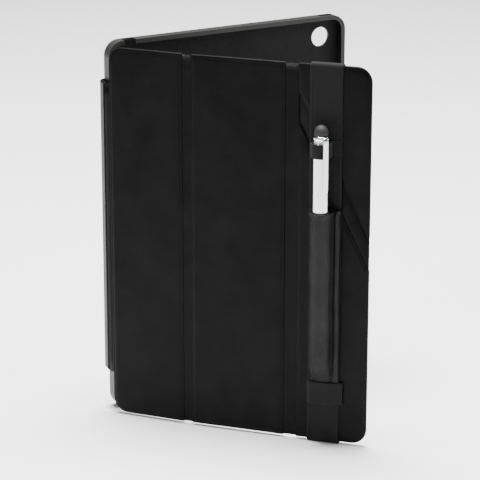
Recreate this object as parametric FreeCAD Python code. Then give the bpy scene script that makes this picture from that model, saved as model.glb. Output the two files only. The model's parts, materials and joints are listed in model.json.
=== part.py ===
"""Folding case for a ten-inch tablet: a push-fit tray, a three-panel cover, and a strap that carries a pen.

Frame: +X along the tray away from the spine, -Y out of the tray's open front, +Z up.
The origin is the centre of the tray's bottom face. All sizes are in millimetres.
The cover is designed closed, then each part is turned about its fold to the half-open resting shape.
"""
import FreeCAD, Part
import os

# how far a cut runs past the face it goes through, and the tolerance for picking edges
overshoot = 1.0
tiny = 1e-6

# the tablet that the tray holds
tablet_width = 169.5
tablet_height = 240.0
tablet_thickness = 6.1
tablet_clearance = 0.4

# tray
tray_wall = 1.6
tray_back = 1.5
tray_corner_radius = 10.0
tray_edge_round = 2.4
lip_overlap = 1.2
lip_thickness = 0.7
lining_thickness = 0.5
slot_depth = 4.8
headphone_notch_width = 8.0
headphone_from_edge = 15.0
power_slot_width = 10.0
power_from_edge = 13.0
volume_slot_length = 24.0
volume_below_top = 49.0
port_slot_width = 14.0
speaker_slot_width = 16.0
speaker_from_centre = 32.0
camera_window_radius = 6.5
camera_from_edge = 15.0

# cover layers and panels
skin_thickness = 0.7
board_thickness = 1.6
cover_lining_thickness = 0.7
turned_edge = 0.8
web_thickness = 1.0
cover_corner_radius = 9.5
panel_1_width = 55.0
panel_3_width = 50.0
free_edge_margin = 2.0
hinge_gap = 2.5
gutter_1 = 5.4
gutter_2 = 7.7
corner_gutter = 8.0
corner_cut_at_fold = 18.0
corner_cut_at_edge = 118.0

# spine and the tail that is glued to the tray's back
spine_below_top = 25.0
spine_above_bottom = 28.0
spine_clearance = 0.5
spine_skin_thickness = 0.7
spine_board_thickness = 0.7
spine_lining_thickness = 0.6
spine_gap = 2.0
tail_inset = 0.6
tail_width = 24.0
tail_thickness = 1.0

# magnets
magnet_radius = 4.0
magnet_from_edge = 8.0
magnet_above_bottom = 34.7
magnet_below_cut = 12.7
corner_magnet_below_top = 28.7
corner_magnet_spacing = 28.0

# strap
band_thickness = 1.0
band_width = 20.5
band_from_fold = 12.0
strap_clearance = 0.3
strap_tray_gap = 0.2
keeper_height = 14.5
keeper_extra_width = 2.5
keeper_above_bottom = 25.8

# pen
pen_radius = 5.2
pen_length = 140.0
pen_above_taper = 13.1
pen_above_pouch = 54.2
pen_from_band_centre = -0.9
tip_radius = 4.3
tip_length = 6.3
collar_length = 4.5
clip_width = 3.4
clip_length = 31.0
clip_thickness = 0.8
clip_turn = 40.0
ring_length = 2.5
barrel_wall = 0.9
nose_length = 14.5
refill_radius = 1.2
refill_below_collar = 4.0
refill_point_length = 2.0
nose_tip_wall = 0.8
ring_proud = 0.1

# pouch and pen loop
pouch_wall = 1.0
pouch_clearance = 0.4
pouch_end_clearance = 0.5
pouch_flange_left = 8.0
pouch_flange_right = 10.6
pouch_flange_thickness = 1.2
pouch_ridge_width = 3.5
pouch_ridge_height = 3.4
pouch_tab_height = 2.2
pouch_taper = 13.0
binding_thickness = 0.6
binding_height = 3.0
loop_thickness = 0.8
loop_height = 9.0
loop_clearance = 0.3
loop_below_collar = 0.2

# resting shape, in degrees
spine_open = 12.0
cover_open = 40.0
fold_1_curl = 3.0
fold_2_curl = 1.0

# tray sizes that follow
tray_width = tablet_width + 2 * (tablet_clearance + tray_wall)
tray_height = tablet_height + 2 * (tablet_clearance + tray_wall)
tray_depth = tray_back + lining_thickness + tablet_thickness + tablet_clearance / 2 + lip_thickness
half_width = tray_width / 2
front_y = -tray_depth / 2
back_y = tray_depth / 2
bay_floor_y = back_y - tray_back
slot_y = (front_y + lip_thickness + bay_floor_y) / 2

# cover sizes that follow, all in the closed position
cover_half = (skin_thickness + board_thickness + cover_lining_thickness) / 2
board_half = board_thickness / 2
web_half = web_thickness / 2
spine_half = (spine_skin_thickness + spine_board_thickness + spine_lining_thickness) / 2
hinge_x = -half_width - spine_clearance - spine_half
tray_hinge_y = back_y + tail_thickness / 2
strap_stack = cover_half + strap_clearance + band_thickness
cover_y = front_y - strap_clearance - strap_stack - strap_tray_gap
cover_bottom = band_thickness + strap_clearance
cover_top = tray_height - cover_bottom
free_edge_x = half_width - free_edge_margin
fold_1_x = hinge_x + panel_1_width
fold_2_x = free_edge_x - panel_3_width
spine_bottom = spine_above_bottom
spine_top = tray_height - spine_below_top

# magnet heights that follow: the closing row stays below the corner cut
low_magnet = cover_bottom + magnet_above_bottom
high_magnet = cover_top - corner_cut_at_edge - magnet_below_cut
magnet_heights = (low_magnet, (low_magnet + high_magnet) / 2, high_magnet)
high_corner_magnet = cover_top - corner_magnet_below_top
corner_magnet_heights = (high_corner_magnet - corner_magnet_spacing, high_corner_magnet)

# strap and pen places that follow
band_left = fold_2_x + band_from_fold
band_right = band_left + band_width
band_face_y = cover_y - strap_stack
pen_x = (band_left + band_right) / 2 + pen_from_band_centre
pouch_outer = pen_radius + pouch_clearance + pouch_wall
pen_y = band_face_y - pouch_outer
pouch_bottom = cover_bottom + keeper_above_bottom
pen_bottom = pouch_bottom + keeper_height + pouch_taper + pen_above_taper
pen_top = pen_bottom + pen_length
collar_bottom = pen_top - tip_length - collar_length
pouch_top = pen_top - pen_above_pouch


def vector(x, y, z=0.0):
    return FreeCAD.Vector(x, y, z)


def block(x0, x1, y0, y1, z0, z1):
    return Part.makeBox(x1 - x0, y1 - y0, z1 - z0, vector(x0, y0, z0))


def plate(x0, x1, y0, y1, z0, z1, left_radius=0.0, right_radius=0.0):
    """A block whose two left and two right corners, seen from the front, are rounded."""
    solid = block(x0, x1, y0, y1, z0, z1)
    for side, radius in ((x0, left_radius), (x1, right_radius)):
        if radius <= 0:
            continue
        edges = []
        for edge in solid.Edges:
            box = edge.BoundBox
            if box.YLength > (y1 - y0) * 0.99 and abs(box.XMin - side) < tiny and box.XLength < tiny:
                edges.append(edge)
        solid = solid.makeFillet(radius, edges)
    return solid


def rod(radius, x, y, z0, z1):
    return Part.makeCylinder(radius, z1 - z0, vector(x, y, z0))


def prism(points, z0, z1):
    """An upright prism on an outline of (x, y) points."""
    corners = [vector(x, y, z0) for x, y in points]
    face = Part.Face(Part.makePolygon(corners + corners[:1]))
    return face.extrude(vector(0, 0, z1 - z0))


def joined(first, *others):
    """One solid from several that touch or overlap."""
    return first.multiFuse(list(others)).removeSplitter()


# ---------------------------------------------------------------- tray

def rim_edges(solid, y):
    boxes = [(edge, edge.BoundBox) for edge in solid.Edges]
    return [edge for edge, box in boxes if abs(box.YMin - y) < tiny and box.YLength < tiny]


def wall_slot(x, width, z0, z1):
    return block(x - width / 2, x + width / 2, slot_y - slot_depth / 2, slot_y + slot_depth / 2, z0, z1)


def camera_window(y0, y1):
    x = half_width - camera_from_edge
    z = tray_height - camera_from_edge
    return Part.makeCylinder(camera_window_radius, y1 - y0, vector(x, y0, z), vector(0, 1, 0))


def tray_shell():
    shell = plate(-half_width, half_width, front_y, back_y, 0, tray_height,
                  tray_corner_radius, tray_corner_radius)
    shell = shell.makeFillet(tray_edge_round, rim_edges(shell, back_y))
    inner = half_width - tray_wall
    inner_radius = tray_corner_radius - tray_wall
    bay = plate(-inner, inner, front_y + lip_thickness, bay_floor_y, tray_wall, tray_height - tray_wall,
                inner_radius, inner_radius)
    mouth = inner - lip_overlap
    mouth_low = tray_wall + lip_overlap
    mouth_radius = inner_radius - lip_overlap
    opening = plate(-mouth, mouth, front_y - overshoot, bay_floor_y, mouth_low, tray_height - mouth_low,
                    mouth_radius, mouth_radius)
    notch_x = -half_width + headphone_from_edge
    notch = block(notch_x - headphone_notch_width / 2, notch_x + headphone_notch_width / 2,
                  front_y - overshoot, slot_y + slot_depth / 2, tray_height - mouth_low,
                  tray_height + overshoot)
    top_low = tray_height - tray_wall - overshoot
    power = wall_slot(half_width - power_from_edge, power_slot_width, top_low, tray_height + overshoot)
    volume_z = tray_height - volume_below_top
    volume = block(inner - overshoot, half_width + overshoot,
                   slot_y - slot_depth / 2, slot_y + slot_depth / 2,
                   volume_z - volume_slot_length / 2, volume_z + volume_slot_length / 2)
    cuts = [bay, opening, notch, power, volume, camera_window(bay_floor_y - overshoot, back_y + overshoot)]
    cuts.append(wall_slot(0, port_slot_width, -overshoot, tray_wall + overshoot))
    for x in (-speaker_from_centre, speaker_from_centre):
        cuts.append(wall_slot(x, speaker_slot_width, -overshoot, tray_wall + overshoot))
    for cut in cuts:
        shell = shell.cut(cut)
    return shell


def tray_lining():
    inner = half_width - tray_wall
    radius = tray_corner_radius - tray_wall
    sheet = plate(-inner, inner, bay_floor_y - lining_thickness, bay_floor_y,
                  tray_wall, tray_height - tray_wall, radius, radius)
    return sheet.cut(camera_window(bay_floor_y - lining_thickness - overshoot, bay_floor_y + overshoot))


def tail_start_x():
    return -half_width + tray_edge_round + tail_inset


def spine_tail():
    return block(tail_start_x(), tail_start_x() + tail_width, back_y, back_y + tail_thickness,
                 spine_bottom, spine_top)


# ---------------------------------------------------------------- spine, in the closed position

def spine_layer(x0, x1, inset):
    return block(x0, x1, cover_y + spine_gap + inset, tray_hinge_y - spine_gap - inset,
                 spine_bottom + inset, spine_top - inset)


def spine_parts():
    outer = hinge_x - spine_half
    board = outer + spine_skin_thickness
    lining = board + spine_board_thickness
    pocket = spine_layer(board, lining, turned_edge)
    return {
        "spine_skin": spine_layer(outer, lining, 0.0).cut(pocket),
        "spine_board": pocket,
        "spine_lining": spine_layer(lining, lining + spine_lining_thickness, 0.0),
    }


# ---------------------------------------------------------------- cover panels, in the closed position

def beyond_diagonal(offset, side):
    """All that lies on one side (1 above, -1 below) of the corner fold's line, moved up by offset."""
    start = vector(fold_2_x, 0, cover_top - corner_cut_at_fold)
    end = vector(free_edge_x, 0, cover_top - corner_cut_at_edge)
    along = (end - start).normalize()
    up = vector(-along.z, 0, along.x)
    reach = tray_height
    first = start - along * reach + up * offset
    second = end + along * reach + up * offset
    far = up * (reach * side)
    corners = [first, second, second + far, first + far]
    for corner in corners:
        corner.y = cover_y - 2 * cover_half
    face = Part.Face(Part.makePolygon(corners + corners[:1]))
    return face.extrude(vector(0, 4 * cover_half, 0))


def whole_panel(x0, x1, left_radius, right_radius):
    """Returns a function that gives the panel's block between two depths, drawn in by an inset."""
    def make(inset, y0, y1):
        left = max(left_radius - inset, 0.0)
        right = max(right_radius - inset, 0.0)
        return plate(x0 + inset, x1 - inset, cover_y + y0, cover_y + y1,
                     cover_bottom + inset, cover_top - inset, left, right)
    return make


def cut_panel(whole, side):
    """As whole_panel, but only the piece of it on one side of the corner fold's groove."""
    def make(inset, y0, y1):
        edge = corner_gutter / 2 + inset
        return whole(inset, y0, y1).cut(beyond_diagonal(edge * side, -side))
    return make


def magnets(x, heights):
    discs = []
    for height in heights:
        foot = vector(x, cover_y - board_half, height)
        discs.append(Part.makeCylinder(magnet_radius, board_thickness, foot, vector(0, 1, 0)))
    return Part.makeCompound(discs)


def panel_parts(name, make, discs=None):
    """Skin with turned edges, stiff board inside it, and lining."""
    pocket = make(turned_edge, -board_half, board_half)
    skin = make(0.0, -cover_half, board_half).cut(pocket)
    board = pocket
    if discs:
        board = pocket.cut(discs)
    return {
        name + "_skin": skin,
        name + "_board": board,
        name + "_lining": make(0.0, board_half, cover_half),
    }


def corner_fold_strip(whole):
    """The thin flexible web in the bottom of the diagonal groove."""
    web = whole(0.0, -web_half, web_half)
    edge = corner_gutter / 2
    return web.cut(beyond_diagonal(edge, 1)).cut(beyond_diagonal(-edge, -1))


# ---------------------------------------------------------------- strap, in the closed position

def elastic_band():
    inner = cover_half + strap_clearance
    outside = block(band_left, band_right, cover_y - strap_stack, cover_y + strap_stack, 0, tray_height)
    inside = block(band_left - overshoot, band_right + overshoot, cover_y - inner, cover_y + inner,
                   band_thickness, tray_height - band_thickness)
    return outside.cut(inside)


def hood(radius, z0, z1):
    """A rounded cover over the pen that stands on the band: half round, on straight sides."""
    base = block(pen_x - radius, pen_x + radius, pen_y, band_face_y, z0, z1)
    return joined(base, rod(radius, pen_x, pen_y, z0, z1).cut(
        block(pen_x - radius, pen_x + radius, band_face_y, band_face_y + 2 * radius, z0, z1)))


def on_band(left, right, height, z0, z1):
    """A flat piece that lies on the band's outer face."""
    return block(left, right, band_face_y - height, band_face_y, z0, z1)


def pouch_taper_block():
    """The pouch's lower end, pressed flat towards the tab under the keeper."""
    low = pouch_bottom + keeper_height
    profile = [(0.0, pouch_bottom), (pouch_tab_height, pouch_bottom), (pouch_tab_height, low),
               (2 * pouch_outer, low + pouch_taper), (0.0, low + pouch_taper)]
    left = pen_x - pouch_outer
    corners = [vector(left, band_face_y - height, z) for height, z in profile]
    face = Part.Face(Part.makePolygon(corners + corners[:1]))
    return face.extrude(vector(2 * pouch_outer, 0, 0))


def pen_pouch():
    body_bottom = pouch_bottom + keeper_height + pouch_taper
    left = pen_x - pouch_flange_left
    right = pen_x + pouch_flange_right
    taper_bottom = pouch_bottom + keeper_height
    tube = hood(pouch_outer, body_bottom, pouch_top)
    flange = on_band(left, right, pouch_flange_thickness, pouch_bottom, pouch_top)
    ridge = on_band(right - pouch_ridge_width, right, pouch_ridge_height, taper_bottom, pouch_top)
    bore_bottom = pen_bottom - pouch_end_clearance
    bore = rod(pen_radius + pouch_clearance, pen_x, pen_y, bore_bottom, pouch_top + overshoot)
    return joined(tube, flange, ridge, pouch_taper_block()).cut(bore)


def pouch_binding():
    """The rolled edge round the pouch's mouth."""
    low = pouch_top - binding_height
    collar = hood(pouch_outer + binding_thickness, low, pouch_top)
    collar = collar.cut(hood(pouch_outer, low - overshoot, pouch_top + overshoot))
    left = pen_x - pouch_flange_left
    right = pen_x + pouch_flange_right
    high = pouch_top + overshoot
    flange = on_band(left, right, pouch_flange_thickness, low - overshoot, high)
    ridge = on_band(right - pouch_ridge_width, right, pouch_ridge_height, low - overshoot, high)
    return collar.cut(flange).cut(ridge)


def pen_loop():
    top = collar_bottom - loop_below_collar
    bottom = top - loop_height
    inner = pen_radius + loop_clearance
    wings = on_band(band_left, band_right, loop_thickness, bottom, top)
    arch = joined(hood(inner + loop_thickness, bottom, top), wings)
    return arch.cut(rod(inner, pen_x, pen_y, bottom - overshoot, top + overshoot))


def strap_keeper():
    top = pouch_bottom + keeper_height
    right = band_right + keeper_extra_width
    bridge = on_band(band_left, right, pouch_tab_height + band_thickness, pouch_bottom, top)
    flange = on_band(pen_x - pouch_flange_left, pen_x + pouch_flange_right, pouch_flange_thickness,
                     pouch_bottom - overshoot, top + overshoot)
    tab = on_band(pen_x - pouch_outer, pen_x + pouch_outer, pouch_tab_height,
                  pouch_bottom - overshoot, top + overshoot)
    return bridge.cut(joined(flange, tab))


# ---------------------------------------------------------------- pen, in the closed position

def stylus_tip():
    base = pen_top - tip_length
    centre = pen_top - tip_radius
    dome = Part.makeSphere(tip_radius, vector(pen_x, pen_y, centre), vector(0, 0, 1), 0, 90, 360)
    return joined(rod(tip_radius, pen_x, pen_y, base, centre), dome)


def clip_blade(radius_0, radius_1, z0, z1):
    """A strip beside the pen at a distance from its axis, turned to the clip's side."""
    strip = block(pen_x - clip_width / 2, pen_x + clip_width / 2, pen_y - radius_1, pen_y - radius_0, z0, z1)
    strip.rotate(vector(pen_x, pen_y), vector(0, 0, 1), clip_turn)
    return strip


def clip_inner_radius():
    return pen_radius + loop_clearance + loop_thickness + loop_clearance


def tip_collar():
    return rod(pen_radius, pen_x, pen_y, collar_bottom, collar_bottom + collar_length)


def pen_clip():
    inner = clip_inner_radius()
    outer = inner + clip_thickness
    root = clip_blade(pen_radius - overshoot, outer, collar_bottom, collar_bottom + collar_length)
    root = root.cut(tip_collar())
    blade = clip_blade(inner, outer, collar_bottom - clip_length, collar_bottom)
    return joined(root, blade)


def tube(radius, wall, z0, z1):
    return rod(radius, pen_x, pen_y, z0, z1).cut(rod(radius - wall, pen_x, pen_y, z0, z1))


def pen_parts():
    nose_top = pen_bottom + nose_length
    middle = (collar_bottom + nose_top) / 2
    refill_top = collar_bottom - refill_below_collar
    cone_bottom = pen_bottom + refill_point_length
    foot = vector(pen_x, pen_y, cone_bottom)
    cone = Part.makeCone(refill_radius + nose_tip_wall, pen_radius, nose_top - cone_bottom, foot)
    bore = rod(refill_radius, pen_x, pen_y, cone_bottom - overshoot, nose_top + overshoot)
    ring_low = middle - ring_length / 2
    ring_high = middle + ring_length / 2
    return {
        "stylus_tip": stylus_tip(),
        "tip_collar": tip_collar(),
        "pen_clip": pen_clip(),
        "upper_barrel": tube(pen_radius, barrel_wall, ring_high, collar_bottom),
        "centre_ring": tube(pen_radius + ring_proud, barrel_wall + ring_proud, ring_low, ring_high),
        "lower_barrel": tube(pen_radius, barrel_wall, nose_top, ring_low),
        "pen_nose": cone.cut(bore),
        "ink_refill": rod(refill_radius, pen_x, pen_y, pen_bottom, refill_top),
    }


# ---------------------------------------------------------------- folds and resting shape

def turned(angle, x, y):
    """A turn about the upright line through (x, y), positive towards the tray."""
    return FreeCAD.Placement(vector(0, 0), FreeCAD.Rotation(vector(0, 0, 1), angle), vector(x, y))


def resting_places():
    spine = turned(-spine_open, hinge_x, tray_hinge_y)
    panel_1 = spine.multiply(turned(-cover_open, hinge_x, cover_y))
    panel_2 = panel_1.multiply(turned(fold_1_curl, fold_1_x, cover_y))
    panel_3 = panel_2.multiply(turned(fold_2_curl, fold_2_x, cover_y))
    return {
        "tray": FreeCAD.Placement(),
        "spine": spine,
        "panel_1": panel_1,
        "panel_2": panel_2,
        "panel_3": panel_3,
    }


def bent_strip(ends, middle, z0, z1):
    """A thin web through three points; ends are (place, x, y, direction) in the closed position."""
    points = []
    for place, x, y, direction in ends:
        point = place.multVec(vector(x, y))
        along = place.Rotation.multVec(direction)
        points.append((point, vector(along.y, -along.x)))
    (start, start_out), (end, end_out) = points
    middle_out = (start_out + end_out).normalize()
    stretch = web_half / middle_out.dot(start_out)
    outline = [start + start_out * web_half, middle + middle_out * stretch, end + end_out * web_half,
               end - end_out * web_half, middle - middle_out * stretch, start - start_out * web_half]
    return prism([(p.x, p.y) for p in outline], z0, z1)


def fold_strips(places):
    right = vector(1, 0)
    left = vector(-1, 0)
    forward = vector(0, -1)
    tray_hinge = vector(hinge_x, tray_hinge_y)
    cover_hinge = places["spine"].multVec(vector(hinge_x, cover_y))
    fold_1 = places["panel_1"].multVec(vector(fold_1_x, cover_y))
    fold_2 = places["panel_2"].multVec(vector(fold_2_x, cover_y))
    tail_end = (places["tray"], tail_start_x(), tray_hinge_y, left)
    spine_start = (places["spine"], hinge_x, tray_hinge_y - spine_gap, forward)
    spine_end = (places["spine"], hinge_x, cover_y + spine_gap, forward)
    panel_1_start = (places["panel_1"], hinge_x + hinge_gap, cover_y, right)
    panel_1_end = (places["panel_1"], fold_1_x - gutter_1 / 2, cover_y, right)
    panel_2_start = (places["panel_2"], fold_1_x + gutter_1 / 2, cover_y, right)
    panel_2_end = (places["panel_2"], fold_2_x - gutter_2 / 2, cover_y, right)
    panel_3_start = (places["panel_3"], fold_2_x + gutter_2 / 2, cover_y, right)
    return {
        "tray_hinge_strip": bent_strip((tail_end, spine_start), tray_hinge, spine_bottom, spine_top),
        "cover_hinge_strip": bent_strip((spine_end, panel_1_start), cover_hinge, spine_bottom, spine_top),
        "fold_strip_1": bent_strip((panel_1_end, panel_2_start), fold_1, cover_bottom, cover_top),
        "fold_strip_2": bent_strip((panel_2_end, panel_3_start), fold_2, cover_bottom, cover_top),
    }


def print_axes(places):
    """The fold axes and slide directions in the resting shape."""
    points = {
        "tray_hinge": vector(hinge_x, tray_hinge_y),
        "cover_hinge": places["spine"].multVec(vector(hinge_x, cover_y)),
        "fold_1": places["panel_1"].multVec(vector(fold_1_x, cover_y)),
        "fold_2": places["panel_2"].multVec(vector(fold_2_x, cover_y)),
    }
    for name, point in points.items():
        print("axis %s %.4f %.4f" % (name, point.x, point.y))
    along = places["panel_3"].Rotation.multVec(vector(1, 0))
    print("axis strap_direction %.6f %.6f" % (along.x, along.y))


def main():
    places = resting_places()
    panel_1 = whole_panel(hinge_x + hinge_gap, fold_1_x - gutter_1 / 2, cover_corner_radius, 0.0)
    panel_2 = whole_panel(fold_1_x + gutter_1 / 2, fold_2_x - gutter_2 / 2, 0.0, 0.0)
    panel_3 = whole_panel(fold_2_x + gutter_2 / 2, free_edge_x, 0.0, cover_corner_radius)
    hinge_magnets = magnets(hinge_x + hinge_gap + magnet_from_edge, magnet_heights)
    edge_magnets = magnets(free_edge_x - magnet_from_edge, magnet_heights)
    corner_magnets = magnets(free_edge_x - magnet_from_edge, corner_magnet_heights)
    strap = {
        "elastic_band": elastic_band(),
        "pen_pouch": pen_pouch(),
        "pouch_binding": pouch_binding(),
        "pen_loop": pen_loop(),
        "strap_keeper": strap_keeper(),
    }
    groups = [
        ("tray", {"tray_shell": tray_shell(), "tray_lining": tray_lining(), "spine_tail": spine_tail()}),
        ("spine", spine_parts()),
        ("panel_1", panel_parts("panel_1", panel_1, hinge_magnets)),
        ("panel_1", {"stand_magnets": hinge_magnets}),
        ("panel_2", panel_parts("panel_2", panel_2)),
        ("panel_3", panel_parts("panel_3", cut_panel(panel_3, -1), edge_magnets)),
        ("panel_3", panel_parts("corner_flap", cut_panel(panel_3, 1), corner_magnets)),
        ("panel_3", {"closing_magnets": edge_magnets, "corner_magnets": corner_magnets}),
        ("panel_3", {"corner_fold_strip": corner_fold_strip(panel_3)}),
        ("panel_3", strap),
        ("panel_3", pen_parts()),
        ("tray", fold_strips(places)),
    ]
    os.makedirs("parts", exist_ok=True)
    for place, parts in groups:
        for name, shape in parts.items():
            solid = shape.copy()
            solid.Placement = places[place].multiply(solid.Placement)
            solid.exportStep("parts/" + name + ".step")
    print_axes(places)


main()
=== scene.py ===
"""Visual model of a folding tablet case: tray, spine, padded cover, elastic strap, pen pouch and pen.

Metres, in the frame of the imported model. Each flat part has a Leaf: s runs along it away from its
fold, h stands out of its outer face, and z is up.
"""
import json
import math
import bmesh
import bpy
from mathutils import Matrix, Vector


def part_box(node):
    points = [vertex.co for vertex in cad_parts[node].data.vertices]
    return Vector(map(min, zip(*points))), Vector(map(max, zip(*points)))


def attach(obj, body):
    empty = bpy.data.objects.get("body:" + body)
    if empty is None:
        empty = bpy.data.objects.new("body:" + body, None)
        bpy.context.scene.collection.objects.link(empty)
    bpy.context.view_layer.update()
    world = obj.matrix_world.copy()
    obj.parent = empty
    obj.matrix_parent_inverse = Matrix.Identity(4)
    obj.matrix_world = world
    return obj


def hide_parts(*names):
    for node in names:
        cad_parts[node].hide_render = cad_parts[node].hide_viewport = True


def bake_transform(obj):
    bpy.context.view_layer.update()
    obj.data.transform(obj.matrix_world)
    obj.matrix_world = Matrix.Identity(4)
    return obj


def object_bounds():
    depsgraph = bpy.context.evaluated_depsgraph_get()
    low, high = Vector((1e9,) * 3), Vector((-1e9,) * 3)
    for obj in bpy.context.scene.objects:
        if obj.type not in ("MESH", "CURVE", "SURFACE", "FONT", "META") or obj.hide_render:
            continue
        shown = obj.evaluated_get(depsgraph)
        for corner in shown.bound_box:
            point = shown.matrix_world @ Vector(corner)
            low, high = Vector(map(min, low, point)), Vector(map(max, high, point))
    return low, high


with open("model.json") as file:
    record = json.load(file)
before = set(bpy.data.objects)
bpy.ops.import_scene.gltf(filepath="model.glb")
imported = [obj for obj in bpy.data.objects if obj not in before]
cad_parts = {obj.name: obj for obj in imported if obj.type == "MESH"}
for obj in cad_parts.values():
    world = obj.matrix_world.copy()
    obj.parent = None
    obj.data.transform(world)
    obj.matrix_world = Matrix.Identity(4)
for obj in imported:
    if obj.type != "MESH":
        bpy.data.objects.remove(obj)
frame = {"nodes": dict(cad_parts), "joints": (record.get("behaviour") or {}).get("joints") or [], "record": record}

cad_low, cad_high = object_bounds()

MM = 0.001
UP = Vector((0, 0, 1))
nodes = frame["nodes"]
joints = {joint["name"]: joint for joint in frame["joints"]}


# ------------------------------------------------------------ places

class Leaf:
    """A flat part's own directions, from its fold's axis."""

    def __init__(self, origin, along):
        self.origin = Vector((origin[0], origin[1], 0))
        self.along = Vector((along[0], along[1], 0)).normalized()
        self.out = Vector((self.along.y, -self.along.x, 0))

    def at(self, s, h, z):
        return self.origin + self.along * s + self.out * h + UP * z

    def local(self, point):
        step = Vector(point) - self.origin
        return Vector((step.dot(self.along), step.dot(self.out), step.z))

    def points(self, node):
        return [self.local(vertex.co) for vertex in nodes[node].data.vertices]

    def span(self, node):
        found = self.points(node)
        low = Vector([min(point[i] for point in found) for i in range(3)])
        high = Vector([max(point[i] for point in found) for i in range(3)])
        return low, high


def fold_point(name):
    return Vector(joints[name]["pos_m"])


tray_fold = fold_point("tray_hinge")
cover_fold = fold_point("cover_hinge")
first_fold = fold_point("fold_1")
second_fold = fold_point("fold_2")
tail = Leaf(tray_fold, (1, 0))
spine = Leaf(tray_fold, cover_fold - tray_fold)
panel_1 = Leaf(cover_fold, first_fold - cover_fold)
panel_2 = Leaf(first_fold, second_fold - first_fold)
panel_3 = Leaf(second_fold, joints["strap_slide"]["axis"])


# ------------------------------------------------------------ mesh helpers

def make_piece(name, points, faces, material, corner_uvs=None):
    """A mesh object with outward faces; corner_uvs holds one (u, v) list per face."""
    mesh = bpy.data.meshes.new(name)
    mesh.from_pydata([tuple(point) for point in points], [], faces)
    if corner_uvs:
        layer = mesh.uv_layers.new(name="run")
        for polygon, pairs in zip(mesh.polygons, corner_uvs):
            for loop_index, pair in zip(polygon.loop_indices, pairs):
                layer.data[loop_index].uv = pair
    work = bmesh.new()
    work.from_mesh(mesh)
    bmesh.ops.recalc_face_normals(work, faces=work.faces)
    work.to_mesh(mesh)
    work.free()
    mesh.materials.append(material)
    mesh.shade_smooth()
    piece = bpy.data.objects.new(name, mesh)
    bpy.context.scene.collection.objects.link(piece)
    return piece


def side_faces(rows, count, closed=False):
    """Quads between neighbouring rows of count points; closed also joins the last row to the first."""
    faces = []
    for row in range(rows if closed else rows - 1):
        after = (row + 1) % rows
        for i in range(count):
            j = (i + 1) % count
            faces.append((row * count + i, row * count + j, after * count + j, after * count + i))
    return faces


def end_faces(rows, count):
    """A cap on the first row and one on the last."""
    return [tuple(row * count + i for i in range(count)) for row in (0, rows - 1)]


def loft(name, loops, material):
    """A closed skin over matching loops of points."""
    rows = len(loops)
    count = len(loops[0])
    points = [point for loop in loops for point in loop]
    return make_piece(name, points, side_faces(rows, count) + end_faces(rows, count), material)


def rounded_outline(corners, radii, inset, steps=7, least=0.25 * MM):
    """A convex outline drawn in by inset, its corners rounded to least or more, as (s, z) points."""
    made = []
    count = len(corners)
    for i in range(count):
        here = Vector(corners[i])
        before = (here - Vector(corners[i - 1])).normalized()
        after = (Vector(corners[(i + 1) % count]) - here).normalized()
        before_in = Vector((-before.y, before.x))
        after_in = Vector((-after.y, after.x))
        corner = here + (before_in + after_in) * (inset / (1 + before_in.dot(after_in)))
        radius = max(radii[i] - inset, least)
        turn = math.acos(max(-1.0, min(1.0, before.dot(after))))
        start = corner - before * (radius * math.tan(turn / 2))
        centre = start + before_in * radius
        first = math.atan2(-before_in.y, -before_in.x)
        for step in range(steps + 1):
            angle = first + turn * step / steps
            made.append(centre + Vector((math.cos(angle), math.sin(angle))) * radius)
    return made


def profiled_plate(name, leaf, corners, radii, profile, material):
    """A plate whose edge follows profile: (inset, height, least corner radius) from inner to outer face."""
    loops = []
    for inset, height, *least in profile:
        outline = rounded_outline(corners, radii, inset, 7, *least)
        loops.append([leaf.at(point.x, height, point.y) for point in outline])
    return loft(name, loops, material)


def swept_strip(name, path, normals, across, section, material, closed=False):
    """A flat strip along path, with UV across and along it.

    section is a loop of (across, normal) offsets.
    """
    count = len(section)
    rows = len(path)
    points = []
    for place, normal in zip(path, normals):
        for offset, rise in section:
            points.append(place + across * offset + normal * rise)
    lengths = [0.0]
    for i in range(1, rows + 1):
        lengths.append(lengths[-1] + (path[i % rows] - path[i - 1]).length)
    faces = side_faces(rows, count, closed)
    uvs = []
    for row in range(rows if closed else rows - 1):
        low, high = lengths[row], lengths[row + 1]
        for i in range(count):
            left, right = section[i][0], section[(i + 1) % count][0]
            uvs.append(((left, low), (right, low), (right, high), (left, high)))
    if not closed:
        faces += end_faces(rows, count)
        for row in (0, rows - 1):
            uvs.append(tuple((offset, lengths[row] + rise) for offset, rise in section))
    return make_piece(name, points, faces, material, uvs)


def lathe(name, centre, profile, material, segments=56):
    """A turned piece about the upright line through centre; profile is (radius, z) from end to end."""
    loops = []
    for radius, z in profile:
        ring = []
        for i in range(segments):
            angle = 2 * math.pi * i / segments
            x = centre.x + radius * math.cos(angle)
            y = centre.y + radius * math.sin(angle)
            ring.append(Vector((x, y, z)))
        loops.append(ring)
    return loft(name, loops, material)


def finish_piece(piece, body, slot, *replaced):
    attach(piece, body)
    if replaced:
        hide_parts(*replaced)


# ------------------------------------------------------------ materials

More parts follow.
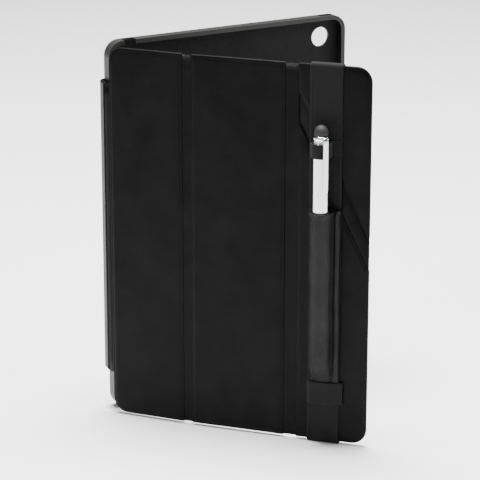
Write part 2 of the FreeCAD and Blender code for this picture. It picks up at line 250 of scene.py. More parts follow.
class Finish:
    """A node material in the making, with short calls for the nodes it uses."""

    def __init__(self, name):
        self.material = bpy.data.materials.new(name)
        self.material.use_nodes = True
        self.tree = self.material.node_tree
        self.shader = self.tree.nodes["Principled BSDF"]

    def node(self, kind, **settings):
        made = self.tree.nodes.new(kind)
        for key, value in settings.items():
            setattr(made, key, value)
        return made

    def link(self, source, target):
        self.tree.links.new(source, target)

    def set(self, **values):
        for key, value in values.items():
            self.shader.inputs[key.replace("_", " ")].default_value = value

    def object_place(self):
        return self.node("ShaderNodeTexCoord").outputs["Object"]

    def uv_place(self):
        return self.node("ShaderNodeUVMap", uv_map="run").outputs["UV"]

    def noise(self, place, scale, detail=4.0, roughness=0.55):
        made = self.node("ShaderNodeTexNoise")
        made.inputs["Scale"].default_value = scale
        made.inputs["Detail"].default_value = detail
        made.inputs["Roughness"].default_value = roughness
        self.link(place, made.inputs["Vector"])
        return made.outputs["Fac"]

    def cells(self, place, scale):
        made = self.node("ShaderNodeTexVoronoi", feature="F1")
        made.inputs["Scale"].default_value = scale
        self.link(place, made.inputs["Vector"])
        return made.outputs["Distance"]

    def wave(self, place, scale, direction, distortion=0.0):
        made = self.node("ShaderNodeTexWave", bands_direction=direction)
        made.inputs["Scale"].default_value = scale
        made.inputs["Distortion"].default_value = distortion
        self.link(place, made.inputs["Vector"])
        return made.outputs["Fac"]

    def turned(self, place, angle, scale=(1, 1, 1)):
        made = self.node("ShaderNodeMapping")
        made.inputs["Rotation"].default_value = angle
        made.inputs["Scale"].default_value = scale
        self.link(place, made.inputs["Vector"])
        return made.outputs["Vector"]

    def math(self, operation, first, second):
        made = self.node("ShaderNodeMath", operation=operation)
        for socket, value in zip(made.inputs, (first, second)):
            if isinstance(value, (int, float)):
                socket.default_value = value
            else:
                self.link(value, socket)
        return made.outputs["Value"]

    def spread(self, value, low, high):
        """value, from 0..1, stretched to low..high."""
        made = self.node("ShaderNodeMapRange")
        made.inputs["To Min"].default_value = low
        made.inputs["To Max"].default_value = high
        self.link(value, made.inputs["Value"])
        return made.outputs["Result"]

    def colours(self, value, stops):
        made = self.node("ShaderNodeValToRGB")
        ramp = made.color_ramp
        ramp.elements[0].position, ramp.elements[0].color = stops[0][0], (*stops[0][1], 1)
        ramp.elements[1].position, ramp.elements[1].color = stops[-1][0], (*stops[-1][1], 1)
        for place, colour in stops[1:-1]:
            ramp.elements.new(place).color = (*colour, 1)
        self.link(value, made.inputs["Fac"])
        self.link(made.outputs["Color"], self.shader.inputs["Base Color"])

    def rough(self, value, low, high):
        self.link(self.spread(value, low, high), self.shader.inputs["Roughness"])

    def bump(self, height, depth, strength=1.0):
        made = self.node("ShaderNodeBump")
        made.inputs["Strength"].default_value = strength
        made.inputs["Distance"].default_value = depth
        self.link(height, made.inputs["Height"])
        self.link(made.outputs["Normal"], self.shader.inputs["Normal"])


def leatherette(name, dark, light, pebble=1500, depth=0.12 * MM):
    finish = Finish(name)
    place = finish.object_place()
    mottle = finish.noise(place, 55, 6)
    grain = finish.cells(place, pebble)
    fine = finish.noise(place, 2600, 3)
    finish.colours(mottle, [(0.3, dark), (0.72, light)])
    finish.rough(mottle, 0.34, 0.46)
    pebbles = finish.math("MULTIPLY", grain, 0.8)
    pores = finish.math("MULTIPLY", fine, 0.35)
    finish.bump(finish.math("ADD", pebbles, pores), depth)
    finish.set(Specular_IOR_Level=0.06)
    return finish.material


def crossed_leatherette(name, dark, light):
    """Leatherette pressed with a fine crossed diagonal grain."""
    finish = Finish(name)
    place = finish.uv_place()
    slant = math.radians(52)
    lines = 290
    rising = finish.wave(finish.turned(place, (0, 0, slant)), lines, "X", 0.6)
    falling = finish.wave(finish.turned(place, (0, 0, -slant)), lines, "X", 0.6)
    mottle = finish.noise(finish.object_place(), 90, 5)
    grain = finish.math("MULTIPLY", rising, falling)
    shade = finish.math("MULTIPLY", mottle, finish.spread(grain, 0.7, 1.1))
    finish.colours(shade, [(0.2, dark), (0.7, light)])
    finish.rough(mottle, 0.33, 0.46)
    finish.bump(grain, 0.5 * MM)
    finish.set(Specular_IOR_Level=0.2)
    return finish.material


def wave_scale(period):
    """The scale at which the wave texture repeats about once a period."""
    return 1 / period / math.pi


def woven_elastic(name, dark, light, rib=0.62 * MM):
    finish = Finish(name)
    place = finish.uv_place()
    weft = finish.wave(place, wave_scale(2 * rib), "Y", 0.25)
    warp = finish.wave(place, wave_scale(2 * rib * 0.8), "X", 0.25)
    fuzz = finish.noise(finish.object_place(), 3200, 2)
    weave = finish.math("MULTIPLY", finish.spread(weft, 0.35, 1), finish.spread(warp, 0.45, 1))
    shade = finish.math("MULTIPLY", weave, finish.spread(fuzz, 0.6, 1.25))
    finish.colours(shade, [(0.15, dark), (0.8, light)])
    finish.rough(fuzz, 0.7, 0.92)
    finish.bump(finish.math("ADD", weave, finish.math("MULTIPLY", fuzz, 0.25)), 0.09 * MM)
    finish.set(Specular_IOR_Level=0.15, Sheen_Weight=0.04, Sheen_Roughness=0.5)
    return finish.material


def brushed_felt(name, dark, light):
    finish = Finish(name)
    place = finish.object_place()
    nap = finish.noise(finish.turned(place, (0, 0, 0), (1, 1, 0.35)), 900, 5, 0.7)
    sweep = finish.noise(place, 28, 4)
    shade = finish.math("ADD", finish.math("MULTIPLY", nap, 0.6), finish.math("MULTIPLY", sweep, 0.4))
    finish.colours(shade, [(0.32, dark), (0.68, light)])
    finish.rough(nap, 0.8, 0.98)
    finish.bump(nap, 0.1 * MM)
    finish.set(Specular_IOR_Level=0.1, Sheen_Weight=0.05, Sheen_Roughness=0.6)
    return finish.material


def moulded_plastic(name, dark, light, low=0.34, high=0.5, depth=0.02 * MM):
    finish = Finish(name)
    place = finish.object_place()
    spark = finish.noise(place, 2400, 2)
    cloud = finish.noise(place, 40, 4)
    finish.colours(cloud, [(0.3, dark), (0.7, light)])
    finish.rough(cloud, low, high)
    finish.bump(spark, depth)
    finish.set(Specular_IOR_Level=0.32)
    return finish.material


def polished_metal(name, colour, low=0.08, high=0.2, brushed=(1, 1, 0.04)):
    finish = Finish(name)
    place = finish.turned(finish.object_place(), (0, 0, 0), brushed)
    lines = finish.noise(place, 1800, 3)
    haze = finish.noise(finish.object_place(), 130, 4)
    finish.colours(haze, [(0.2, tuple(part * 0.9 for part in colour)), (0.75, colour)])
    finish.rough(haze, low, high)
    finish.bump(lines, 0.004 * MM, 0.5)
    finish.set(Metallic=1.0)
    return finish.material


def soft_rubber(name):
    finish = Finish(name)
    place = finish.object_place()
    dust = finish.noise(place, 700, 5)
    finish.colours(dust, [(0.35, (0.008, 0.008, 0.008)), (0.75, (0.022, 0.022, 0.023))])
    finish.rough(dust, 0.55, 0.75)
    finish.bump(dust, 0.02 * MM)
    finish.set(Specular_IOR_Level=0.35)
    return finish.material


def pressed_board(name):
    finish = Finish(name)
    place = finish.object_place()
    fibre = finish.noise(place, 600, 6, 0.7)
    finish.colours(fibre, [(0.3, (0.12, 0.11, 0.1)), (0.7, (0.24, 0.22, 0.2))])
    finish.rough(fibre, 0.75, 0.9)
    finish.bump(fibre, 0.05 * MM)
    return finish.material


def floor_finish():
    finish = Finish("studio_floor")
    cloud = finish.noise(finish.object_place(), 2, 2)
    finish.colours(cloud, [(0.2, (0.9, 0.9, 0.9)), (0.8, (0.93, 0.93, 0.93))])
    finish.set(Roughness=0.7, Specular_IOR_Level=0.2)
    return finish.material


finishes = {
    "tray_plastic": moulded_plastic("tray_plastic", (0.014, 0.0138, 0.013), (0.02, 0.0197, 0.0185)),
    "tray_felt": brushed_felt("tray_felt", (0.006, 0.006, 0.0063), (0.016, 0.016, 0.017)),
    "cover_leather": leatherette("cover_leather", (0.0018, 0.0018, 0.0021), (0.005, 0.005, 0.0056)),
    "cover_board": pressed_board("cover_board"),
    "cover_lining": brushed_felt("cover_lining", (0.007, 0.007, 0.0075), (0.019, 0.019, 0.02)),
    "magnet_steel": polished_metal("magnet_steel", (0.6, 0.6, 0.62), 0.3, 0.45),
    "elastic_web": woven_elastic("elastic_web", (0.0025, 0.0025, 0.0027), (0.011, 0.011, 0.0115)),
    "pouch_leather": crossed_leatherette("pouch_leather", (0.001, 0.001, 0.001), (0.016, 0.016, 0.0158)),
    "pen_chrome": polished_metal("pen_chrome", (0.78, 0.79, 0.8)),
    "tip_rubber": soft_rubber("tip_rubber"),
    "refill_brass": polished_metal("refill_brass", (0.7, 0.55, 0.3), 0.2, 0.35),
}
thread = woven_elastic("stitch_thread", (0.012, 0.012, 0.013), (0.05, 0.05, 0.052), 0.2 * MM)

for part in frame["record"]["subparts"]:
    mesh = nodes[part["node"]].data
    mesh.materials.clear()
    mesh.materials.append(finishes[part["material_slot"]])


# ------------------------------------------------------------ cover panels

CORNER = 9.5 * MM
SHARP = 0.9 * MM
LINING_INSET = 2.4 * MM


def pad_profile(half):
    """The padded panel's edge: turned under inside, a low border outside, and a raised pad within it."""
    edge = [(LINING_INSET, -half + 0.35 * MM), (LINING_INSET - 0.15 * MM, -half), (0.75 * MM, -half),
            (0.25 * MM, -half + 0.2 * MM), (0.0, -half + 0.65 * MM), (0.0, half - 1.3 * MM),
            (0.08 * MM, half - 0.95 * MM), (0.28 * MM, half - 0.68 * MM), (0.5 * MM, half - 0.57 * MM)]
    border = [(0.75 * MM, half - 0.54 * MM, 0.5 * MM), (1.1 * MM, half - 0.52 * MM, 1.0 * MM)]
    pad = [(1.35 * MM, half - 0.44 * MM, 1.7 * MM), (1.65 * MM, half - 0.24 * MM, 2.3 * MM),
           (2.05 * MM, half - 0.06 * MM, 2.6 * MM), (2.6 * MM, half + 0.05 * MM, 2.7 * MM),
           (3.4 * MM, half + 0.11 * MM, 2.7 * MM), (5.2 * MM, half + 0.14 * MM, 2.7 * MM),
           (8.5 * MM, half + 0.16 * MM, 2.7 * MM)]
    return edge + border + pad


def make_panel(name, body, leaf, corners, radii, half):
    pad = profiled_plate(name + "_pad", leaf, corners, radii, pad_profile(half), finishes["cover_leather"])
    finish_piece(pad, body, "cover_leather", name + "_skin")
    edge = LINING_INSET + 0.1 * MM
    layers = [(edge, -half + 0.5 * MM), (edge, -half - 0.05 * MM), (edge + 0.35 * MM, -half - 0.12 * MM)]
    sheet = profiled_plate(name + "_felt", leaf, corners, radii, layers, finishes["cover_lining"])
    finish_piece(sheet, body, "cover_lining", name + "_lining")


def box_corners(low, high):
    return [(low.x, low.z), (high.x, low.z), (high.x, high.z), (low.x, high.z)]


def heights_at(leaf, node, s):
    """The lowest and highest points of a node at the distance s along its leaf."""
    found = [point.z for point in leaf.points(node) if abs(point.x - s) < 0.02 * MM]
    return min(found), max(found)


low_1, high_1 = panel_1.span("panel_1_skin")
low_2, high_2 = panel_2.span("panel_2_skin")
low_3, high_3 = panel_3.span("panel_3_skin")
low_flap, high_flap = panel_3.span("corner_flap_skin")
half = high_1.y
cut_at_fold = heights_at(panel_3, "panel_3_skin", low_3.x)[1]
cut_at_edge = heights_at(panel_3, "panel_3_skin", high_3.x)[1]
flap_at_fold = heights_at(panel_3, "corner_flap_skin", low_flap.x)[0]
flap_at_edge = heights_at(panel_3, "corner_flap_skin", high_flap.x)[0]
make_panel("panel_1", "panel_1", panel_1, box_corners(low_1, high_1), (CORNER, SHARP, SHARP, CORNER), half)
make_panel("panel_2", "panel_2", panel_2, box_corners(low_2, high_2), (SHARP,) * 4, half)
make_panel("panel_3", "panel_3", panel_3,
           [(low_3.x, low_3.z), (high_3.x, low_3.z), (high_3.x, cut_at_edge), (low_3.x, cut_at_fold)],
           (SHARP, CORNER, SHARP, SHARP), half)
make_panel("corner_flap", "panel_3", panel_3,
           [(low_flap.x, flap_at_fold), (high_flap.x, flap_at_edge), (high_flap.x, high_flap.z),
            (low_flap.x, high_flap.z)],
           (SHARP, SHARP, CORNER, SHARP), half)


# ------------------------------------------------------------ flexible strips

def flexible_strip(name, start, middle, end, low, high, thickness=1.0 * MM):
    """A thin web along a smooth curve in plan, from the point start to the point end, bent towards middle."""
    steps = 16
    outer = []
    inner = []
    for step in range(steps + 1):
        t = step / steps
        point = start * (1 - t) ** 2 + middle * (2 * t * (1 - t)) + end * t ** 2
        slope = (middle - start) * (1 - t) + (end - middle) * t
        slope.z = 0
        slope.normalize()
        normal = Vector((slope.y, -slope.x, 0))
        rise = thickness / 2 * (1 - 0.3 * math.sin(math.pi * t))
        outer.append(point + normal * rise)
        inner.append(point - normal * rise)
    ring = outer + inner[::-1]
    levels = 24
    loops = []
    for level in range(levels + 1):
        z = low + (high - low) * level / levels
        loops.append([Vector((point.x, point.y, z)) for point in ring])
    return loft(name, loops, finishes["cover_leather"])


def finish_strip(piece, node):
    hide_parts(node)
    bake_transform(piece)


TUCK = 0.7 * MM
ground = Vector((1, 1, 0))


def join_leaves(name, node, leaf_a, s_a, leaf_b, s_b, middle, low, high):
    """A strip from the end of one leaf to the start of the next, tucked under both pads."""
    start = leaf_a.at(s_a, 0, 0)
    end = leaf_b.at(s_b, 0, 0)
    strip = flexible_strip(name, start, middle * ground, end, low, high)
    finish_strip(strip, node)


cover_low, cover_high = low_1.z, high_1.z
spine_low, spine_high = spine.span("spine_skin")
tail_low = tail.span("spine_tail")[0]
join_leaves("first_gutter", "fold_strip_1", panel_1, high_1.x - TUCK, panel_2, low_2.x + TUCK,
            first_fold, cover_low + TUCK, cover_high - TUCK)
join_leaves("second_gutter", "fold_strip_2", panel_2, high_2.x - TUCK, panel_3, low_3.x + TUCK,
            second_fold, cover_low + TUCK, cover_high - TUCK)
join_leaves("cover_hinge_web", "cover_hinge_strip", spine, spine_high.x - TUCK, panel_1,
            low_1.x + TUCK, cover_fold, spine_low.z, spine_high.z)
join_leaves("tray_hinge_web", "tray_hinge_strip", tail, tail_low.x + TUCK, spine,
            spine_low.x + TUCK, tray_fold, spine_low.z, spine_high.z)


def groove_web():
    """The web in the bottom of the corner fold's groove, tucked further under the pads' sharp corners."""
    low, high = panel_3.span("corner_fold_strip")
    edge = 0.12 * MM
    blunt = 1.6 * MM
    sharp = 5.5 * MM
    depth = 0.25 * MM
    corner = 0.25 * MM
    corners = [(low.x + edge, cut_at_fold - sharp), (high.x - edge, cut_at_edge - blunt),
               (high.x - edge, flap_at_edge + sharp), (low.x + edge, flap_at_fold + blunt)]
    top = high.y - depth
    profile = [(0.3 * MM, low.y), (0.0, low.y + 0.2 * MM), (0.0, top - 0.25 * MM), (0.2 * MM, top)]
    web = profiled_plate("corner_groove", panel_3, corners, (corner,) * 4, profile,
                         finishes["cover_leather"])
    finish_piece(web, "panel_3", "cover_leather", "corner_fold_strip")


groove_web()


# ------------------------------------------------------------ spine and tail

def thin_profile(low, high, edge):
    """A thin sheet's turned edge, from its inner face to its slightly raised outer face."""
    return [(edge, low), (0.0, low + edge * 0.6), (0.0, high - edge * 0.8),
            (edge * 0.35, high - edge * 0.25), (edge, high), (edge * 3, high + 0.03 * MM)]


def spine_pieces():
    low, high = spine.span("spine_skin")
    back = profiled_plate("spine_back", spine, box_corners(low, high), (SHARP,) * 4,
                          thin_profile(low.y, high.y, 0.5 * MM), finishes["cover_leather"])
    finish_piece(back, "spine", "cover_leather", "spine_skin")
    low, high = spine.span("spine_lining")
    layers = [(0.5 * MM, low.y), (0.3 * MM, low.y + 0.2 * MM), (0.3 * MM, high.y)]
    felt = profiled_plate("spine_felt", spine, box_corners(low, high), (SHARP,) * 4, layers,
                          finishes["cover_lining"])
    finish_piece(felt, "spine", "cover_lining", "spine_lining")


def tail_piece():
    low, high = tail.span("spine_tail")
    profile = [(inset, -height) for inset, height in thin_profile(-high.y, -low.y, 0.45 * MM)]
    flap = profiled_plate("tail_flap", tail, box_corners(low, high), (SHARP, 4 * MM, 4 * MM, SHARP), profile,
                          finishes["cover_leather"])
    finish_piece(flap, "tray", "cover_leather", "spine_tail")


spine_pieces()
tail_piece()


# ------------------------------------------------------------ strap

band_low, band_high = panel_3.span("elastic_band")
band_middle = (band_low.x + band_high.x) / 2
band_width = band_high.x - band_low.x
BAND_THICK = 1.0 * MM


def web_section(width, thick, selvedge=1.9 * MM, ribs=16, per_rib=4):
    """A woven tape's section: fine lengthwise ribs between two thicker edges."""
    top = []
    columns = ribs * per_rib
    for column in range(columns + 1):
        offset = -width / 2 + width * column / columns
        from_edge = width / 2 - abs(offset)
        if from_edge < selvedge:
            rise = math.sqrt(max(0.0, 1 - (1 - from_edge / selvedge) ** 2)) * 0.5
            rise = max(rise, 0.14)
        elif from_edge < selvedge * 1.5:
            rise = 0.36
        else:
            rise = 0.46 + 0.04 * math.cos(2 * math.pi * column / per_rib)
        top.append((offset, rise * thick))
    bottom = [(offset, -rise) for offset, rise in top[::-1]]
    return top + bottom


def rounded_loop(half_depth, low, high, radius, steps=8, runs=40):
    """A tall loop in (h, z), with its outward normals."""
    corners = [(-half_depth, low), (half_depth, low), (half_depth, high), (-half_depth, high)]
    outline = rounded_outline(corners, (radius,) * 4, 0.0, steps)
    path = []
    for i, point in enumerate(outline):
        after = outline[(i + 1) % len(outline)]
        pieces = runs if (after - point).length > 20 * MM else 1
        for k in range(pieces):
            path.append(point.lerp(after, k / pieces))
    normals = []
    for i, point in enumerate(path):
        slope = (path[(i + 1) % len(path)] - path[i - 1]).normalized()
        normals.append(Vector((slope.y, -slope.x)))
    return path, normals


def elastic_strap():
    depth = band_high.y - BAND_THICK / 2
    path, normals = rounded_loop(depth, BAND_THICK / 2, band_high.z - BAND_THICK / 2, 1.6 * MM)
    places = [panel_3.at(band_middle, point.x, point.y) for point in path]
    outward = [panel_3.out * normal.x + UP * normal.y for normal in normals]
    strap = swept_strip("elastic_strap", places, outward, panel_3.along, web_section(band_width, BAND_THICK),
                        finishes["elastic_web"], closed=True)
    finish_piece(strap, "strap", "elastic_web", "elastic_band")


elastic_strap()

pen_low, pen_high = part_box("upper_barrel")
pen_axis = (Vector(pen_low) + Vector(pen_high)) / 2
pen_place = panel_3.local(pen_axis)
pen_radius = (pen_high[0] - pen_low[0]) / 2
band_face = band_high.y
WEB_STEP = 0.8 * MM
RIB_PITCH = 1.2 * MM


def cross_web(name, node, outline, thick, low, high):
    """A short woven tape across the strap; outline is (s, h) points of its middle line."""
    path = []
    for i in range(len(outline) - 1):
        a, b = Vector(outline[i]), Vector(outline[i + 1])
        steps = max(1, int((b - a).length / WEB_STEP))
        for k in range(steps):
            path.append(a.lerp(b, k / steps))
    path.append(Vector(outline[-1]))
    normals = []
    for i in range(len(path)):
        slope = (path[min(i + 1, len(path) - 1)] - path[max(i - 1, 0)]).normalized()
        normals.append(Vector((-slope.y, slope.x)))
    middle = (low + high) / 2
    places = [panel_3.at(point.x, point.y, middle) for point in path]
    outward = [panel_3.along * normal.x + panel_3.out * normal.y for normal in normals]
    ribs = max(6, int((high - low) / RIB_PITCH))
    tape = swept_strip(name, places, outward, UP, web_section(high - low, thick, 0.8 * MM, ribs),
                       finishes["elastic_web"])
    finish_piece(tape, "strap", "elastic_web", node)


def loop_outline(radius, foot):
    """Over the pen: flat on the strap, up one side, round the barrel, and down the other side."""
    left = band_low.x + 0.4 * MM
    right = band_high.x - 0.4 * MM
    arc = []
    start, end = math.radians(218), math.radians(-38)
    steps = 30
    for k in range(steps + 1):
        angle = start + (end - start) * k / steps
        arc.append((pen_place.x + radius * math.cos(angle), pen_place.y + radius * math.sin(angle)))
    bend = 1.6 * MM
    lift = foot + 0.35 * MM
    first, last = arc[0][0], arc[-1][0]
    left_foot = [(left, foot), (first - bend * 1.2, foot), (first - bend * 0.35, lift)]
    right_foot = [(last + bend * 0.35, lift), (last + bend * 1.2, foot), (right, foot)]
    return left_foot + arc + right_foot


loop_low, loop_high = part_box("pen_loop")
LOOP_THICK = 0.8 * MM
cross_web("pen_loop_web", "pen_loop", loop_outline(pen_radius + 0.75 * MM, band_face + LOOP_THICK / 2),
          LOOP_THICK, loop_low[2], loop_high[2])

keeper_low, keeper_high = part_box("strap_keeper")
keeper_span_low, keeper_span_high = panel_3.span("strap_keeper")
KEEPER_THICK = 1.0 * MM


def keeper_outline():
    foot = band_face + KEEPER_THICK / 2
    top = keeper_span_high.y - KEEPER_THICK / 2
    left = keeper_span_low.x
    right = keeper_span_high.x
    shoulder = 8.3 * MM
    return [(left, foot), (left + 1.2 * MM, foot), (pen_place.x - shoulder + 1.2 * MM, top - 0.3 * MM),
            (pen_place.x - shoulder + 3 * MM, top), (pen_place.x + shoulder - 3 * MM, top),
            (pen_place.x + shoulder, top - 0.6 * MM), (pen_place.x + 11.5 * MM, foot + 0.5 * MM),
            (right - 1.0 * MM, foot), (right, foot - 0.35 * MM)]


cross_web("keeper_web", "strap_keeper", keeper_outline(), KEEPER_THICK, keeper_low[2], keeper_high[2])


# ------------------------------------------------------------ pen pouch

pouch_low, pouch_high = panel_3.span("pen_pouch")
POUCH_WALL = 1.0 * MM
BORE = pen_radius + 0.4 * MM
TUBE = BORE + POUCH_WALL
POUCH_LEFT = 8.0 * MM
POUCH_RIGHT = 11.0 * MM
FLAT_CREST = 2.4 * MM
FLAT_RIDGE = 1.6 * MM
FULL_RIDGE = 3.4 * MM


def pouch_section(fullness, grow=0.0):
    """The pouch's outer line in (s, h) from the pen's axis and the strap's face, left foot to right foot."""
    left = -POUCH_LEFT - grow
    right = POUCH_RIGHT + grow
    crest = 2 * TUBE * fullness + FLAT_CREST * (1 - fullness)
    line = [(left, 0.0), (left, 0.7 * MM), (left + 0.35 * MM, 1.1 * MM)]
    steps = 30
    for k in range(steps + 1):
        angle = math.pi * (1.06 - 1.12 * k / steps)
        width = TUBE + grow
        rise = crest / 2 + (crest / 2 + grow) * math.sin(angle)
        line.append((width * math.cos(angle), max(rise, 1.15 * MM)))
    ridge = FULL_RIDGE * fullness + FLAT_RIDGE * (1 - fullness)
    side = TUBE + grow
    line += [(side + 0.45 * MM, min(1.5 * MM, ridge)), (side + 1.1 * MM, ridge * 0.8),
             (side + 1.9 * MM, ridge), (side + 3.0 * MM, ridge * 0.92),
             (right - 0.25 * MM, ridge * 0.72), (right, ridge * 0.4), (right, 0.0)]
    return line


def ease(value):
    value = max(0.0, min(1.0, value))
    return value * value * (3 - 2 * value)


def pouch_rows():
    """The pouch's sections with their heights: a flat end, the full tube, and the rolled mouth."""
    top = pouch_high.z
    bottom = pouch_low.z
    flat_until = keeper_high[2] + 0.5 * MM
    full_from = flat_until + 14 * MM
    below_mouth = 2.6 * MM
    steps = 60
    rows = []
    for k in range(steps + 1):
        z = bottom + (top - below_mouth - bottom) * k / steps
        fullness = ease((z - flat_until) / (full_from - flat_until))
        sag = 0.12 * MM * math.sin(z / (9 * MM)) * fullness
        rows.append((z, pouch_section(fullness, sag)))
    for drop, grow in ((2.4, 0.1), (2.2, 0.5), (1.4, 0.8), (0.6, 0.75), (0.1, 0.4), (0.0, 0.0)):
        rows.append((top - drop * MM, pouch_section(1.0, grow * MM)))
    return rows


def pouch_piece():
    """A sewn tube that flattens at its lower end, with a rolled mouth and an open bore for the pen."""
    top = pouch_high.z
    rows = pouch_rows()
    count = len(rows[0][1])
    points = []
    runs = []
    for z, line in rows:
        travel = 0.0
        before = line[0]
        for s, h in line:
            travel += math.hypot(s - before[0], h - before[1])
            before = (s, h)
            points.append(panel_3.at(pen_place.x + s, band_face + h, z))
            runs.append((travel, z))
    narrow = BORE - 0.1 * MM
    bore_rows = [(top, BORE), (top - 1.0 * MM, narrow), (top - 45 * MM, narrow)]
    for z, radius in bore_rows:
        for i in range(count):
            angle = math.pi * (1.35 - 1.7 * i / (count - 1))
            s = pen_place.x + radius * math.cos(angle)
            h = pen_place.y + radius * math.sin(angle)
            points.append(panel_3.at(s, h, z))
            runs.append((radius * angle, z))
    total = len(rows) + len(bore_rows)
    faces = side_faces(total, count) + end_faces(total, count)
    uvs = [[runs[i] for i in face] for face in faces]
    pouch = make_piece("pouch_body", points, faces, finishes["pouch_leather"], uvs)
    finish_piece(pouch, "strap", "pouch_leather", "pen_pouch", "pouch_binding")


pouch_piece()


# ------------------------------------------------------------ pen

def node_heights(node):
    low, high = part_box(node)
    return low[2], high[2]


tip_low, tip_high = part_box("stylus_tip")
tip_radius = (tip_high[0] - tip_low[0]) / 2
TUBE_WALL = 0.6 * MM


def turned_chrome(name, node, profile):
    piece = lathe(name, pen_axis, profile, finishes["pen_chrome"])
    finish_piece(piece, "pen", "pen_chrome", node)


def rubber_tip():
    low, high = node_heights("stylus_tip")
    straight = high - tip_radius
    profile = [(tip_radius * 0.9, low), (tip_radius, low + 0.3 * MM)]
    steps = 15
    for k in range(steps):
        angle = math.pi / 2 * k / steps
        profile.append((tip_radius * math.cos(angle), straight + tip_radius * math.sin(angle)))
    profile.append((0.05 * MM, high))
    dome = lathe("tip_dome", pen_axis, profile, finishes["tip_rubber"])
    finish_piece(dome, "pen", "tip_rubber", "stylus_tip")


def collar_with_groove():
    low, high = node_heights("tip_collar")
    r = pen_radius
    groove = r - 0.3 * MM
    profile = [(r - 0.5 * MM, low), (r, low + 0.25 * MM), (r, low + 0.9 * MM), (groove, low + 1.1 * MM),
               (groove, low + 1.4 * MM), (r, low + 1.6 * MM), (r, high - 0.9 * MM),
               (r - 0.25 * MM, high - 0.35 * MM), (tip_radius + 0.1 * MM, high), (tip_radius * 0.8, high)]
    turned_chrome("collar_turned", "tip_collar", profile)


def barrel(name, node):
    low, high = node_heights(node)
    r = pen_radius
    eased = r - 0.12 * MM
    steps = 8
    profile = [(r - TUBE_WALL, low), (eased, low), (r, low + 0.15 * MM)]
    profile += [(r, low + (high - low) * k / steps) for k in range(1, steps)]
    profile += [(r, high - 0.15 * MM), (eased, high), (r - TUBE_WALL, high)]
    turned_chrome(name, node, profile)


def middle_ring():
    low, high = node_heights("centre_ring")
    r = pen_radius
    proud = r + 0.12 * MM
    profile = [(r - TUBE_WALL, low), (r, low), (proud, low + 0.2 * MM), (proud, high - 0.2 * MM),
               (r, high), (r - TUBE_WALL, high)]
    turned_chrome("ring_turned", "centre_ring", profile)


def tapered_nose():
    low, high = node_heights("pen_nose")
    r = pen_radius
    end = 2.0 * MM
    profile = [(1.3 * MM, low), (end - 0.2 * MM, low), (end, low + 0.2 * MM)]
    steps = 12
    for k in range(1, steps):
        t = k / steps
        profile.append((end + (r - end) * math.sin(t * math.pi / 2) ** 0.9, low + (high - low) * t))
    profile += [(r, high - 0.1 * MM), (r - TUBE_WALL, high)]
    turned_chrome("nose_turned", "pen_nose", profile)


def clip_piece():
    """A sprung strip from a curled root at the collar to a rounded end, clear of the pen loop."""
    low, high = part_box("pen_clip")
    centre = (Vector(low) + Vector(high)) / 2
    outward = (centre - pen_axis) * ground
    outward.normalize()
    across = Vector((-outward.y, outward.x, 0))
    outer = pen_radius + 2.3 * MM
    middle = outer - 0.4 * MM
    top = high[2]
    bottom = low[2]
    shoulder = top - 2.0 * MM
    steps = 24
    line = [(pen_radius - 0.9 * MM, top - 1.9 * MM), (pen_radius + 0.2 * MM, top - 1.0 * MM),
            (middle - 0.9 * MM, top - 0.5 * MM), (middle - 0.15 * MM, top - 0.9 * MM), (middle, shoulder)]
    for k in range(1, steps):
        line.append((middle, shoulder - (shoulder - bottom) * k / steps))
    line.append((middle + 0.25 * MM, bottom))
    path = [Vector((pen_axis.x, pen_axis.y, z)) + outward * radius for radius, z in line]
    width = 3.4 * MM
    thick = 1.0 * MM
    sides = 16
    loops = []
    total = len(path)
    for i in range(total):
        slope = (path[min(i + 1, total - 1)] - path[max(i - 1, 0)]).normalized()
        normal = across.cross(slope).normalized()
        from_end = path[i].z - bottom
        share = math.sqrt(max(0.02, 1 - (1 - min(from_end / (width / 2), 1)) ** 2))
        half_width = width / 2 * share
        ring = []
        for k in range(sides):
            angle = 2 * math.pi * k / sides
            x = half_width * math.cos(angle)
            y = thick / 2 * math.sin(angle)
            ring.append(path[i] + across * x + normal * y)
        loops.append(ring)
    finish_piece(loft("clip_blade", loops, finishes["pen_chrome"]), "pen", "pen_chrome", "pen_clip")


rubber_tip()
collar_with_groove()
barrel("barrel_upper", "upper_barrel")
barrel("barrel_lower", "lower_barrel")
middle_ring()
tapered_nose()
clip_piece()


# ------------------------------------------------------------ stitching

STITCH_PITCH = 2.2 * MM
STITCH_LENGTH = 1.6 * MM
THREAD_RADIUS = 0.22 * MM


